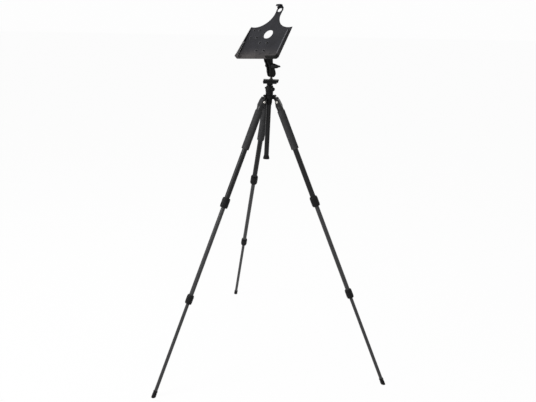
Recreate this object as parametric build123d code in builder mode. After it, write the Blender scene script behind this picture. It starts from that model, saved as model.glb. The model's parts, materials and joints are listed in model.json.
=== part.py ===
from build123d import *
import os
from math import cos, hypot, radians, sin, sqrt, tan

os.makedirs("parts", exist_ok=True)

# A three-section travel tripod with twist locks, a ball head, a double-socket arm and a tablet cradle.
# Millimetres, +Z up. The feet stand on Z = 0: one leg points to the rear (+Y), two to the front.
# The origin is the middle of the footprint's box, so the column stands a little in front of it.

# Stance of the legs
hinge_height = 1157.0          # leg pivots above the floor
pivot_radius = 37.0            # leg pivots from the column's axis
leg_lean = radians(24.2)       # each leg from upright, on its first stop
leg_azimuths = {"rear": 90.0, "left": 210.0, "right": 330.0}
half_spread = radians(60.0)    # from the column's front to each front leg
eighth_turn = radians(45.0)

# Clearances shared by every fit
slide_fit = 0.10               # round a sliding tube or a turning pin
turn_fit = 0.30                # between turning shells
stop_gap = 0.10                # between a part and the stop it rests on
overrun = 2.0                  # how far a cut runs past the surface it opens

# Leg tubes, as radii, and their stations measured down the leg from its pivot
tube_wall = 1.2
upper_tube_r = 11.0
middle_tube_r = 9.0
lower_tube_r = 7.0
upper_lock_station = 440.0
lower_lock_station = 855.0
tube_overlap = 55.0            # what stays inside the tube above, past the lock's middle

# Foam grip
grip_r = 15.75
grip_top = 37.5
grip_length = 169.5
grip_bevel = 4.0
grip_bevel_drop = 1.6

# Leg casting: a fork round the spider's lug, the stop tab's housing and the tube socket
knuckle_r = 8.8
fork_width = 21.4
fork_side = 12.5
fork_base = 19.0
flank_side = 10.8              # the fork's outer flank, beside the pivot and above it
flank_drop = 3.8
shoulder_side = 9.6
shoulder_rise = 6.7
fork_corner_r = 3.1
socket_r = 13.5
socket_top = 30.0
socket_bottom = 37.0
socket_depth = 19.0
housing_top = 21.5
housing_front = 1.5
housing_back = 4.2

# Lug of the spider, one for each leg. Each rise counts from the leg pivots
lug_r = 7.6
lug_width = 10.6
lug_face = 1.0                 # the stop face, this far inside the pivot's line
lug_face_top = 24.0
lug_heel = radians(12.0)
lug_root_r = 15.0
lug_root_rise = 27.0
lug_crest_r = 24.0
lug_crest_rise = 29.6
lug_brow = 3.6                 # overhang over the stop tab's housing, and its drop from the crest
lug_brow_drop = 3.6
arch_r = 21.0
arch_rise = 11.0

# Stop tab
tab_station = 15.5
tab_thickness = 4.6
tab_width = 9.0
tab_reach = 9.6
tab_heel = 7.4
tab_bevel = 1.2
tab_fit = 0.2

# Leg pivot bolt
bolt_r = 3.0
bolt_head_r = 5.2
bolt_head_height = 2.6
bolt_head_taper = 20.0         # degrees
hexagon_count = 6              # sides
bolt_socket_r = 1.9
bolt_socket_depth = 1.5

# Twist locks: a slit ferrule on the outer tube and a ribbed collar screwed over it
ferrule_wall = 2.0
ferrule_sleeve = 18.0
ferrule_shoulder = 3.0
ferrule_nose = 14.0
ferrule_taper = 6.0
nose_wall = 1.5
slit_width = 1.2
slit_count = 4
upper_collar_r = 16.7
upper_collar_length = 42.0
lower_collar_r = 14.5
lower_collar_length = 37.0
collar_bevel = 9.0
collar_bevel_drop = 1.7
flute_r = 1.5
flute_sink = 0.9
flute_count = 10
guide_length = 30.0

# Foot
foot_length = 25.5
foot_top_r = 8.1
foot_ring_r = 8.9
foot_ring_length = 5.0
foot_waist_r = 8.0
foot_waist_length = 4.0
sole_r = 8.7
sole_length = 12.0
sole_thickness = 9.0

# Spider: the crown that joins the legs, with its sleeve and its neck. Each rise counts from the leg pivots
sleeve_r = 13.0
sleeve_drop = 6.0
crown_floor_rise = 10.0
crown_rim_r = 21.5
crown_rim_rise = 16.0
crown_shoulder_r = 18.5
crown_shoulder_rise = 26.0
crown_top_r = 14.6
crown_rise = 28.0
neck_r = 12.2
neck_height = 4.0
bore_r = 11.4

# Centre column
column_r = 10.0
column_wall = 2.0
column_drop = 238.0            # its lower end below the leg pivots
bushing_flange_r = 12.0
bushing_flange = 7.0
cap_r = 13.2
cap_lip_r = 10.6
cap_floor = 7.0
cap_height = 15.0
cap_plug = 14.0
column_collar_r = 15.3
column_collar_height = 6.0
collar_roof = 1.6
column_flute_r = 1.0
column_flute_sink = 0.6
platform_r = 15.2
platform_thickness = 2.4
platform_plug = 16.0
stud_r = 4.7
stud_height = 1.9

# Ball head
base_r = 15.2
base_thickness = 2.0
housing_bottom_r = 15.4
housing_waist_r = 17.2
housing_waist_rise = 7.7
head_ball_rise = 17.7          # ball centre above the housing's underside
mouth_rise = 8.0               # from here on, each rise or drop counts from the ball's centre
dome_r = 15.5
head_ball_r = 12.0
head_stem_r = 5.0
lock_boss_r = 6.0
lock_boss_reach = 18.6
lock_drop = 4.0
lock_knob_r = 7.6
lock_knob_length = 9.0
lock_screw_r = 2.5
lock_flute_r = 1.1
lock_flute_sink = 0.55
knob_bevel = 0.4
lock_flute_count = 12
drag_boss_r = 3.6
drag_boss_reach = 19.5
drag_drop = 1.4
drag_taper = 8.0               # degrees
head_azimuth = -13.7           # the clamp's long side
lock_azimuth = -68.7
drag_azimuth = 160.0

# Quick-release clamp and its plate
clamp_neck_r = 12.5
clamp_neck_rise = 10.2         # the neck hangs over the housing's dome like a bell
clamp_rise = 17.5
clamp_thickness = 8.9
clamp_foot_length = 54.0
clamp_length = 58.0
clamp_width = 38.0
dovetail_width = 30.0
dovetail_neck = 25.0
dovetail_depth = 5.0
plate_length = 63.0
plate_foot_length = 59.0
plate_width = 40.0
plate_thickness = 6.4
plate_corner = 4.0
plate_offset = 4.5             # the plate sits this far along the clamp
clamp_knob_r = 5.4
clamp_knob_length = 11.0
clamp_knob_rise = 3.4
clamp_screw_r = 1.8
clamp_screw_depth = 3.6

# Balls and double-socket arm. The arm leans forward in the cradle's own upright plane.
face_azimuth = 215.5           # the way the cradle faces
arm_lean = radians(22.0)
arm_span = 70.0                # ball centre to ball centre
lower_ball_rise = 25.0         # above the plate
ball_r = 12.7
core_r = 11.0
post_flange_r = 8.0
post_flange = 2.6
post_r = 6.2
post_shank = 5.0
post_height = 10.0
neck_stem_r = 4.5
arm_end_r = 14.6
arm_half_width = 14.6
arm_half_gap = 5.0
arm_waist = 10.6
waist_arc_r = 60.0
arm_round = 6.5
arm_pocket_length = 30.0
arm_pocket_width = 10.0
arm_pocket_corner_r = 3.0
arm_pocket_floor = 10.6
arm_boss_r = 8.5
arm_boss = 1.6
arm_bolt_r = 3.0
arm_bolt_wall = 3.0            # alloy left around the bolt, across the pocket
arm_bolt_head_r = 6.2
arm_bolt_head = 4.2

# Wing knob
knob_skirt_r = 11.0
knob_skirt = 5.0
knob_neck_r = 4.2
knob_neck = 30.0
knob_length = 35.5
wing_root = 9.0
wing_root_half = 8.0
wing_half = 15.5
wing_tip = 6.0
wing_root_thickness = 9.0
wing_tip_thickness = 5.6
knob_bore = 14.0

# Tablet cradle
cradle_tilt = radians(38.0)    # its face looks up by this much
cradle_roll = radians(4.85)
cradle_width = 216.0
cradle_side = 157.0            # bottom edge to the top corners
cradle_sheet = 2.6
cradle_corner_r = 12.0
cradle_left_corner_r = 5.0
wall_thickness = 3.0
wall_depth = 17.0              # at the bottom; each wall gets lower towards its top
right_wall_top = 133.0
right_wall_end_depth = 15.0
left_wall_top = 156.0
left_wall_end_depth = 5.0
left_lip_top = 80.0            # its lip ends where a tablet's face would meet it
lip_width = 3.2
lip_thickness = 1.6
ledge_depth = 6.0
cup_height = 10.0
left_cup = 20.0
right_cup = 56.0
right_horn_u = 92.0            # centres of the round cut-outs beside the tongue
right_horn_v = 228.0
left_horn_u = 85.4
left_horn_v = 233.5
horn_r = 74.0
tongue_u = 3.4                 # the tongue stands a little to the right
tongue_half = 15.2
tongue_end = 247.0
tongue_end_r = 16.4
tongue_hole_r = 10.4
window_r = 21.8
window_u = 3.0
window_height = 122.0
screw_hole_r = 2.9
screw_boss_r = 5.2
screw_boss = 3.4
pattern_u = 38.1
pattern_v = 38.1
low_pattern_v = 58.5
high_pattern_width = 30.2
high_pattern_u = -66.0
high_pattern_v = 125.0

# Ball plate on the cradle's back
mount_u = 32.66
mount_v = 23.04
ball_reach = 24.06             # ball centre to the cradle's back
rivet_sink = 1.3
diamond_length = 61.0
diamond_width = 30.0
diamond_thickness = 4.0
rivet_half_span = 24.5
rivet_r = 2.4
rivet_head_r = 4.0

# Latch over the tablet's top edge
latch_hinge_v = 258.5
latch_hinge_w = 8.6
latch_boss_r = 3.6
latch_half = 10.0
latch_arm = 4.2
latch_rise = 4.5
latch_reach = 15.5
latch_slope = 7.0              # its roof slopes down towards the tip
latch_drop = 9.0
ear_thickness = 3.0
ear_gap = 0.3
latch_pin_r = 1.6

# Worked-out places
lean_sin = sin(leg_lean)
lean_cos = cos(leg_lean)
leg_length = hinge_height / lean_cos
foot_circle = pivot_radius + hinge_height * tan(leg_lean)
sole_out = sole_r / lean_cos                                # the sole is an ellipse, longer outwards
front_share = cos(half_spread)
sole_front = hypot(sole_out * front_share, sole_r * sin(half_spread))
column_y = -(foot_circle * (1 - front_share) + sole_out - sole_front) / 2

# Heights of the crown, the column and the head, each stacked on the one below
sleeve_bottom = hinge_height - sleeve_drop
crown_bottom = hinge_height + crown_floor_rise
arch_height = hinge_height + arch_rise
crown_rim = hinge_height + crown_rim_rise
crown_shoulder = hinge_height + crown_shoulder_rise
crown_top = hinge_height + crown_rise
neck_top = crown_top + neck_height
lug_root_top = hinge_height + lug_root_rise
lug_crest = hinge_height + lug_crest_rise
bushing_bottom = sleeve_bottom - bushing_flange
column_bottom = hinge_height - column_drop
cap_bottom = column_bottom - cap_floor
column_collar_bottom = crown_top + turn_fit
column_collar_top = column_collar_bottom + column_collar_height
platform_bottom = column_collar_top + turn_fit
platform_top = platform_bottom + platform_thickness
base_top = platform_top + base_thickness
housing_bottom = base_top + turn_fit
housing_waist = housing_bottom + housing_waist_rise
head_ball_height = housing_bottom + head_ball_rise
housing_mouth = head_ball_height + mouth_rise
clamp_neck_bottom = head_ball_height + clamp_neck_rise
clamp_bottom = head_ball_height + clamp_rise
clamp_top = clamp_bottom + clamp_thickness
plate_seat = clamp_top + tab_fit
plate_top = plate_seat + plate_thickness
lower_ball_height = plate_top + lower_ball_rise

up = Vector(0, 0, 1)
column_axis = Axis((0, column_y, 0), (0, 0, 1))


def heading(azimuth):
    """Level direction at this azimuth, in degrees from +X."""
    return Vector(cos(radians(azimuth)), sin(radians(azimuth)), 0)


def level(height):
    """Level plane with its origin on the column's axis."""
    return Plane(origin=(0, column_y, height))


def upright(azimuth, height=0):
    """Upright plane through the column's axis: x outwards at the azimuth, y up."""
    outwards = heading(azimuth)
    return Plane(origin=(0, column_y, height), x_dir=outwards, z_dir=outwards.cross(up))


def keep(piece, name):
    """Label the finished piece and write it."""
    piece.part.label = name
    export_step(piece.part, f"parts/{name}.step")


def tube(base, outer_r, inner_r, length):
    """Straight tube standing on the base plane."""
    with BuildPart() as body:
        with BuildSketch(base):
            Circle(outer_r)
            Circle(inner_r, mode=Mode.SUBTRACT)
        extrude(amount=length)
    return body


def turned(points, side, axis):
    """Solid of revolution from a closed outline of radius and station."""
    with BuildPart() as body:
        with BuildSketch(side):
            with BuildLine():
                Polyline(*points, close=True)
            make_face()
        revolve(axis=axis)
    return body


class LegFrame:
    """Planes of one leg: 'square' lies across it at the pivot, 'side' holds its axis."""

    def __init__(self, azimuth):
        outwards = heading(azimuth)
        self.pivot = Vector(0, column_y, hinge_height) + outwards * pivot_radius
        self.down = outwards * lean_sin - up * lean_cos
        self.across = outwards * lean_cos + up * lean_sin
        self.square = Plane(origin=self.pivot, x_dir=self.across, z_dir=self.down)
        self.side = Plane(origin=self.pivot, x_dir=self.across, z_dir=self.across.cross(self.down))
        self.axis = Axis(self.pivot, self.down)


def make_yoke(leg):
    """Leg casting: two cheeks with the stop tab's housing, running into a round tube socket."""
    arc_x = -knuckle_r * cos(eighth_turn)
    front_y = -sqrt(knuckle_r**2 - housing_front**2)
    lug_clear = lug_r + turn_fit
    tab_half = tab_thickness / 2 + tab_fit
    with BuildPart() as yoke:
        with BuildSketch(leg.side):
            with BuildLine():
                Polyline(
                    (housing_front, front_y),
                    (housing_front, -housing_top),
                    (housing_back, -housing_top),
                    (shoulder_side, -shoulder_rise),
                    (flank_side, flank_drop),
                    (fork_side, fork_base),
                    (-fork_side, fork_base),
                    (-knuckle_r, 0),
                )
                ThreePointArc((-knuckle_r, 0), (arc_x, arc_x), (housing_front, front_y))
            make_face()
        extrude(amount=fork_width / 2, both=True)
        with BuildSketch(leg.square.offset(fork_base)):
            RectangleRounded(2 * fork_side, fork_width, fork_corner_r)
        with BuildSketch(leg.square.offset(socket_top)):
            Circle(socket_r)
        loft()
        with BuildSketch(leg.square.offset(socket_top)):
            Circle(socket_r)
        extrude(amount=socket_bottom - socket_top)
        # Room for the lug, open towards the column
        with BuildSketch(leg.side):
            with BuildLine():
                slot_top = -sqrt(lug_clear**2 - housing_front**2)
                Polyline(
                    (0, lug_clear),
                    (-fork_side - overrun, lug_clear),
                    (-fork_side - overrun, -housing_top - overrun),
                    (housing_front, -housing_top - overrun),
                    (housing_front, slot_top),
                )
                ThreePointArc((housing_front, slot_top), (lug_clear, 0), (0, lug_clear))
            make_face()
        extrude(amount=lug_width / 2 + tab_fit, both=True, mode=Mode.SUBTRACT)
        # Window of the stop tab, bolt hole and tube socket
        with BuildSketch(leg.side):
            with Locations((fork_side / 2, -tab_station)):
                Rectangle(fork_side + 2 * overrun, 2 * tab_half)
        extrude(amount=tab_width / 2 + tab_fit, both=True, mode=Mode.SUBTRACT)
        with BuildSketch(leg.side):
            Circle(bolt_r + slide_fit)
        extrude(amount=fork_width, both=True, mode=Mode.SUBTRACT)
        with BuildSketch(leg.square.offset(socket_depth)):
            Circle(upper_tube_r)
        extrude(amount=socket_bottom, mode=Mode.SUBTRACT)
    return yoke


def make_tab(leg):
    """Stop tab: its inner end bears on the lug, its outer end is pulled to free the leg."""
    inner = -lug_face + stop_gap
    with BuildPart() as tab:
        with BuildSketch(leg.side):
            with BuildLine():
                Polyline(
                    (inner, -tab_station - tab_thickness / 2),
                    (tab_reach - tab_bevel, -tab_station - tab_thickness / 2),
                    (tab_reach, -tab_station - tab_thickness / 2 + tab_bevel),
                    (tab_reach, -tab_station + tab_thickness / 2),
                    (tab_reach - tab_bevel, -tab_station + tab_thickness / 2 - tab_bevel),
                    (tab_heel, -tab_station + tab_thickness / 2),
                    (inner, -tab_station + tab_thickness / 2),
                    close=True,
                )
            make_face()
        extrude(amount=tab_width / 2, both=True)
    return tab


def make_ferrule(leg, station, outer_r, inner_r):
    """Ferrule glued over the outer tube's end, with a tapered nose slit to squeeze the inner tube."""
    rim_r = outer_r + ferrule_wall
    grip_nose_r = inner_r + slide_fit
    nose = station + ferrule_nose
    points = [
        (outer_r, station - ferrule_sleeve),
        (rim_r, station - ferrule_sleeve),
        (rim_r, nose - ferrule_taper),
        (inner_r + nose_wall, nose),
        (grip_nose_r, nose),
        (grip_nose_r, station - ferrule_shoulder),
        (outer_r, station - ferrule_shoulder),
    ]
    with BuildPart() as ferrule:
        with BuildSketch(leg.side):
            with BuildLine():
                Polyline(*points, close=True)
            make_face()
        revolve(axis=leg.axis)
        with BuildSketch(leg.square.offset(station)):
            for turn in range(slit_count // 2):
                Rectangle(4 * rim_r, slit_width, rotation=turn * 360 / slit_count)
        extrude(amount=ferrule_nose + overrun, mode=Mode.SUBTRACT)
    return ferrule


def make_collar(leg, station, outer_r, inner_r, collar_r, length):
    """Twist collar with bevelled ends and finger flutes, hollow round the ferrule."""
    rim_r = outer_r + ferrule_wall + turn_fit
    top = station - length / 2
    end = station + length / 2
    nose = station + ferrule_nose
    points = [
        (rim_r, top),
        (collar_r - collar_bevel_drop, top),
        (collar_r, top + collar_bevel),
        (collar_r, end - collar_bevel),
        (collar_r - collar_bevel_drop, end),
        (inner_r + turn_fit, end),
        (inner_r + turn_fit, nose + turn_fit),
        (inner_r + nose_wall + turn_fit, nose + turn_fit),
        (rim_r, nose - ferrule_taper + turn_fit),
    ]
    with BuildPart() as collar:
        with BuildSketch(leg.side):
            with BuildLine():
                Polyline(*points, close=True)
            make_face()
        revolve(axis=leg.axis)
        with BuildSketch(leg.square.offset(top + collar_bevel)):
            with PolarLocations(collar_r + flute_sink, flute_count):
                Circle(flute_r)
        extrude(amount=length - 2 * collar_bevel, mode=Mode.SUBTRACT)
    return collar


def make_foot(leg):
    """Rubber foot over the lower tube's end, cut flat where it stands."""
    top = leg_length - foot_length
    tube_end = leg_length - sole_thickness
    points = [
        (lower_tube_r, top),
        (foot_top_r, top),
        (foot_ring_r, top + foot_ring_length / 2),
        (foot_ring_r, top + foot_ring_length),
        (foot_waist_r, top + foot_ring_length + foot_waist_length / 2),
        (foot_waist_r, top + foot_ring_length + foot_waist_length),
        (sole_r, leg_length - sole_length),
        (sole_r, leg_length + sole_length),
        (0, leg_length + sole_length),
        (0, tube_end),
        (lower_tube_r, tube_end),
    ]
    with BuildPart() as foot:
        with BuildSketch(leg.side):
            with BuildLine():
                Polyline(*points, close=True)
            make_face()
        revolve(axis=leg.axis)
        split(bisect_by=Plane.XY, keep=Keep.TOP)
    return foot


def pair(first, second):
    """Two solids of one node, side by side."""
    with BuildPart() as group:
        add(first.part)
        add(second.part)
    return group


def make_leg(name, azimuth):
    """All twelve pieces of one leg, from its casting to its foot."""
    leg = LegFrame(azimuth)
    keep(make_yoke(leg), f"{name}_leg_yoke")
    keep(make_tab(leg), f"{name}_angle_tab")

    upper_end = upper_lock_station - ferrule_shoulder
    upper_bore = upper_tube_r - tube_wall
    upper = tube(leg.square.offset(socket_depth), upper_tube_r, upper_bore, upper_end - socket_depth)
    keep(upper, f"{name}_upper_tube")

    grip_end = grip_top + grip_length
    grip = turned(
        [
            (upper_tube_r, grip_top),
            (grip_r, grip_top),
            (grip_r, grip_end - grip_bevel),
            (grip_r - grip_bevel_drop, grip_end),
            (upper_tube_r, grip_end),
        ],
        leg.side,
        leg.axis,
    )
    keep(grip, f"{name}_foam_grip")

    keep(make_ferrule(leg, upper_lock_station, upper_tube_r, middle_tube_r), f"{name}_upper_ferrule")
    upper_collar = make_collar(
        leg, upper_lock_station, upper_tube_r, middle_tube_r, upper_collar_r, upper_collar_length
    )
    keep(upper_collar, f"{name}_upper_collar")

    middle_top = upper_lock_station - tube_overlap
    middle_end = lower_lock_station - ferrule_shoulder
    middle_bore = middle_tube_r - tube_wall
    middle = tube(leg.square.offset(middle_top), middle_tube_r, middle_bore, middle_end - middle_top)
    keep(middle, f"{name}_middle_tube")
    middle_guide = tube(leg.square.offset(middle_top), upper_bore - slide_fit, middle_tube_r, guide_length)
    middle_ferrule = make_ferrule(leg, lower_lock_station, middle_tube_r, lower_tube_r)
    keep(pair(middle_guide, middle_ferrule), f"{name}_middle_fittings")

    lower_collar = make_collar(
        leg, lower_lock_station, middle_tube_r, lower_tube_r, lower_collar_r, lower_collar_length
    )
    keep(lower_collar, f"{name}_lower_collar")
    lower_top = lower_lock_station - tube_overlap
    lower_end = leg_length - sole_thickness
    lower_bore = lower_tube_r - tube_wall
    lower = tube(leg.square.offset(lower_top), lower_tube_r, lower_bore, lower_end - lower_top)
    keep(lower, f"{name}_lower_tube")
    lower_guide = tube(leg.square.offset(lower_top), middle_bore - slide_fit, lower_tube_r, guide_length)
    keep(lower_guide, f"{name}_lower_guide")
    keep(make_foot(leg), f"{name}_foot")


def make_spider():
    """Crown with a column sleeve, a threaded neck and three lugs, each with its stop face."""
    with BuildPart() as spider:
        with BuildSketch(upright(0)):
            with BuildLine():
                Polyline(
                    (bore_r, sleeve_bottom),
                    (sleeve_r, sleeve_bottom),
                    (sleeve_r, crown_bottom),
                    (crown_rim_r, arch_height),
                    (crown_rim_r, crown_rim),
                    (crown_shoulder_r, crown_shoulder),
                    (crown_top_r, crown_top),
                    (neck_r, crown_top),
                    (neck_r, neck_top),
                    (bore_r, neck_top),
                    close=True,
                )
            make_face()
        revolve(axis=column_axis)
        for azimuth in leg_azimuths.values():
            leg = LegFrame(azimuth)
            side = upright(azimuth)
            # The stop face, at the lug's outer top: points of radius and height
            face_top = (
                pivot_radius - lug_face * lean_cos - lug_face_top * lean_sin,
                hinge_height - lug_face * lean_sin + lug_face_top * lean_cos,
            )
            face_foot = (
                pivot_radius - lug_face * lean_cos,
                hinge_height - lug_face * lean_sin,
            )
            brow_foot = (face_top[0] + lug_brow * lean_cos, face_top[1] + lug_brow * lean_sin)
            with BuildSketch(side):
                with BuildLine():
                    Polyline(
                        (lug_root_r, arch_height),
                        (lug_root_r, lug_root_top),
                        (lug_crest_r, lug_crest),
                        (brow_foot[0], lug_crest - lug_brow_drop),
                        brow_foot,
                        face_top,
                        face_foot,
                        (pivot_radius - lug_r * cos(lug_heel), hinge_height - lug_r * sin(lug_heel)),
                        (arch_r, arch_height),
                        close=True,
                    )
                make_face()
            extrude(amount=lug_width / 2, both=True)
            with BuildSketch(leg.side):
                Circle(lug_r)
            extrude(amount=lug_width / 2, both=True)
            with BuildSketch(leg.side):
                Circle(bolt_r)
            extrude(amount=lug_width, both=True, mode=Mode.SUBTRACT)
    return spider


def make_pivot_bolts():
    """Three pivot bolts, each with a low round head and a nut of the same outline."""
    head_at = fork_width / 2 + tab_fit
    with BuildPart() as bolts:
        for azimuth in leg_azimuths.values():
            leg = LegFrame(azimuth)
            with BuildSketch(leg.side):
                Circle(bolt_r)
            extrude(amount=head_at, both=True)
            with BuildSketch(leg.side.offset(head_at)):
                Circle(bolt_head_r)
            extrude(amount=bolt_head_height, taper=bolt_head_taper)
            with BuildSketch(leg.side.offset(-head_at)):
                Circle(bolt_head_r)
            extrude(amount=-bolt_head_height, taper=bolt_head_taper)
            for side in (1, -1):
                with BuildSketch(leg.side.offset(side * (head_at + bolt_head_height))):
                    RegularPolygon(bolt_socket_r, hexagon_count)
                extrude(amount=-side * bolt_socket_depth, mode=Mode.SUBTRACT)
    return bolts


post_spot = Vector(0, column_y, 0) + heading(head_azimuth) * plate_offset      # under the lower ball


def make_column_parts():
    """Bushing, column tube, bell cap, platform and twist collar, all on the column's axis."""
    side = upright(0)
    bushing_r = column_r + slide_fit
    bushing = turned(
        [
            (bushing_r, bushing_bottom),
            (bushing_flange_r, bushing_bottom),
            (bushing_flange_r, sleeve_bottom),
            (bore_r, sleeve_bottom),
            (bore_r, neck_top),
            (bushing_r, neck_top),
        ],
        side,
        column_axis,
    )
    keep(bushing, "column_bushing")
    column_bore = column_r - column_wall
    column = tube(level(column_bottom), column_r, column_bore, platform_bottom - column_bottom)
    keep(column, "centre_column")
    cap = turned(
        [
            (0, cap_bottom),
            (cap_r, cap_bottom),
            (cap_r, cap_bottom + cap_height / 3),
            (cap_lip_r, cap_bottom + cap_height),
            (column_r, cap_bottom + cap_height),
            (column_r, column_bottom),
            (column_bore, column_bottom),
            (column_bore, column_bottom + cap_plug),
            (0, column_bottom + cap_plug),
        ],
        side,
        column_axis,
    )
    keep(cap, "column_cap")
    platform = turned(
        [
            (0, platform_bottom - platform_plug),
            (column_bore, platform_bottom - platform_plug),
            (column_bore, platform_bottom),
            (platform_r, platform_bottom),
            (platform_r, platform_top),
            (stud_r, platform_top),
            (stud_r, platform_top + stud_height),
            (0, platform_top + stud_height),
        ],
        side,
        column_axis,
    )
    keep(platform, "column_platform")
    roof = column_collar_top - collar_roof
    with BuildPart() as collar:
        with BuildSketch(side):
            with BuildLine():
                Polyline(
                    (neck_r + turn_fit, column_collar_bottom),
                    (column_collar_r, column_collar_bottom),
                    (column_collar_r, column_collar_top),
                    (bushing_r + turn_fit, column_collar_top),
                    (bushing_r + turn_fit, roof),
                    (neck_r + turn_fit, roof),
                    close=True,
                )
            make_face()
        revolve(axis=column_axis)
        with BuildSketch(level(column_collar_bottom)):
            with PolarLocations(column_collar_r + column_flute_sink, 2 * flute_count):
                Circle(column_flute_r)
        extrude(amount=column_collar_top - column_collar_bottom, mode=Mode.SUBTRACT)
    keep(collar, "column_collar")


def knurled_knob(face, radius, length, screw_r, screw_length):
    """Round knob with a fluted rim on a screw that goes back into what it clamps."""
    with BuildPart() as knob:
        with BuildSketch(face):
            Circle(radius)
            with PolarLocations(radius + lock_flute_sink, lock_flute_count):
                Circle(lock_flute_r, mode=Mode.SUBTRACT)
        extrude(amount=length)
        end_face = knob.faces().sort_by(Axis(face.origin, face.z_dir))[-1]
        chamfer(end_face.outer_wire().edges(), knob_bevel)
        with BuildSketch(face):
            Circle(screw_r)
        extrude(amount=-screw_length)
    return knob


def make_head():
    """Ball head: base, housing, ball with its stem, and the lock knob."""
    side = upright(0)
    base = turned(
        [
            (stud_r + slide_fit, platform_top),
            (base_r, platform_top),
            (base_r, base_top),
            (stud_r + slide_fit, base_top),
        ],
        side,
        column_axis,
    )
    keep(base, "head_base")

    head_centre = Vector(0, column_y, head_ball_height)
    ball_clear = head_ball_r + turn_fit
    dome_end_r = sqrt(dome_r**2 - mouth_rise**2)
    dome_mid_r = sqrt(dome_r**2 - (mouth_rise / 2) ** 2)
    lock_face = Plane(
        origin=head_centre - up * lock_drop + heading(lock_azimuth) * (lock_boss_reach + turn_fit),
        x_dir=up,
        z_dir=heading(lock_azimuth),
    )
    drag_face = Plane(
        origin=head_centre - up * drag_drop + heading(drag_azimuth) * drag_boss_reach,
        x_dir=up,
        z_dir=heading(drag_azimuth),
    )
    with BuildPart() as housing:
        with BuildSketch(side):
            with BuildLine():
                Polyline(
                    (dome_end_r, housing_mouth),
                    (0, housing_mouth),
                    (0, housing_bottom),
                    (housing_bottom_r, housing_bottom),
                    (housing_waist_r, housing_waist),
                    (dome_r, head_ball_height),
                )
                ThreePointArc(
                    (dome_r, head_ball_height),
                    (dome_mid_r, head_ball_height + mouth_rise / 2),
                    (dome_end_r, housing_mouth),
                )
            make_face()
        revolve(axis=column_axis)
        with BuildSketch(lock_face.offset(-turn_fit)):
            Circle(lock_boss_r)
        extrude(amount=-lock_boss_reach)
        with BuildSketch(drag_face):
            Circle(drag_boss_r)
        extrude(amount=-drag_boss_reach, taper=-drag_taper)
        with Locations(head_centre):
            Sphere(ball_clear, mode=Mode.SUBTRACT)
        with BuildSketch(lock_face):
            Circle(lock_screw_r + slide_fit)
        extrude(amount=-(lock_boss_reach - head_ball_r), mode=Mode.SUBTRACT)
    keep(housing, "head_housing")

    with BuildPart() as ball:
        with Locations(head_centre):
            Sphere(head_ball_r)
        with BuildSketch(level(head_ball_height)):
            Circle(head_stem_r)
        extrude(amount=clamp_bottom - head_ball_height)
    keep(ball, "head_ball")

    screw_length = lock_boss_reach - head_ball_r - turn_fit
    keep(knurled_knob(lock_face, lock_knob_r, lock_knob_length, lock_screw_r, screw_length), "head_lock_knob")


def make_clamp():
    """Quick-release clamp on the ball's stem, its knob and the dovetailed plate that it holds."""
    length_side = upright(head_azimuth)                      # x along the clamp, y up
    width_side = upright(head_azimuth + 90)                  # x across it
    across = heading(head_azimuth + 90)
    groove_floor = clamp_top - dovetail_depth
    knob_height = clamp_bottom + clamp_knob_rise
    knob_face = Plane(
        origin=Vector(0, column_y, knob_height) + across * (clamp_width / 2 + turn_fit),
        x_dir=up,
        z_dir=across,
    )
    with BuildPart() as clamp:
        with BuildSketch(length_side):
            with BuildLine():
                Polyline(
                    (-clamp_foot_length / 2, clamp_bottom),
                    (clamp_foot_length / 2, clamp_bottom),
                    (clamp_length / 2, clamp_top),
                    (-clamp_length / 2, clamp_top),
                    close=True,
                )
            make_face()
        extrude(amount=clamp_width / 2, both=True)
        with BuildSketch(level(clamp_neck_bottom)):
            Circle(clamp_neck_r)
        extrude(amount=clamp_bottom - clamp_neck_bottom)
        with Locations((0, column_y, head_ball_height)):
            Sphere(dome_r + turn_fit, mode=Mode.SUBTRACT)
        with BuildSketch(width_side):
            with BuildLine():
                Polyline(
                    (-dovetail_neck / 2, clamp_top + overrun),
                    (-dovetail_neck / 2, clamp_top),
                    (-dovetail_width / 2, groove_floor),
                    (dovetail_width / 2, groove_floor),
                    (dovetail_neck / 2, clamp_top),
                    (dovetail_neck / 2, clamp_top + overrun),
                    close=True,
                )
            make_face()
        extrude(amount=clamp_length, both=True, mode=Mode.SUBTRACT)
        with BuildSketch(level(clamp_neck_bottom)):
            Circle(head_stem_r + slide_fit)
        extrude(amount=clamp_bottom - clamp_neck_bottom + turn_fit, mode=Mode.SUBTRACT)
        with BuildSketch(knob_face):
            Circle(clamp_screw_r + slide_fit)
        extrude(amount=-clamp_screw_depth, mode=Mode.SUBTRACT)
    keep(clamp, "clamp_body")

    screw_length = clamp_screw_depth - turn_fit
    knob = knurled_knob(knob_face, clamp_knob_r, clamp_knob_length, clamp_screw_r, screw_length)
    keep(knob, "clamp_knob")

    plate_side = Plane(origin=post_spot, x_dir=across, z_dir=across.cross(up))
    with BuildPart() as plate:
        with BuildSketch(Plane(origin=post_spot + up * plate_seat, x_dir=heading(head_azimuth))):
            RectangleRounded(plate_foot_length, plate_width, plate_corner)
        with BuildSketch(Plane(origin=post_spot + up * plate_top, x_dir=heading(head_azimuth))):
            RectangleRounded(plate_length, plate_width, plate_corner)
        loft()
        with BuildSketch(plate_side):
            with BuildLine():
                Polyline(
                    (-dovetail_neck / 2 + tab_fit, plate_seat),
                    (-dovetail_neck / 2 + tab_fit, clamp_top),
                    (-dovetail_width / 2 + 2 * tab_fit, groove_floor + tab_fit),
                    (dovetail_width / 2 - 2 * tab_fit, groove_floor + tab_fit),
                    (dovetail_neck / 2 - tab_fit, clamp_top),
                    (dovetail_neck / 2 - tab_fit, plate_seat),
                    close=True,
                )
            make_face()
        extrude(amount=clamp_length / 2, both=True)
    keep(plate, "camera_plate")


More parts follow.
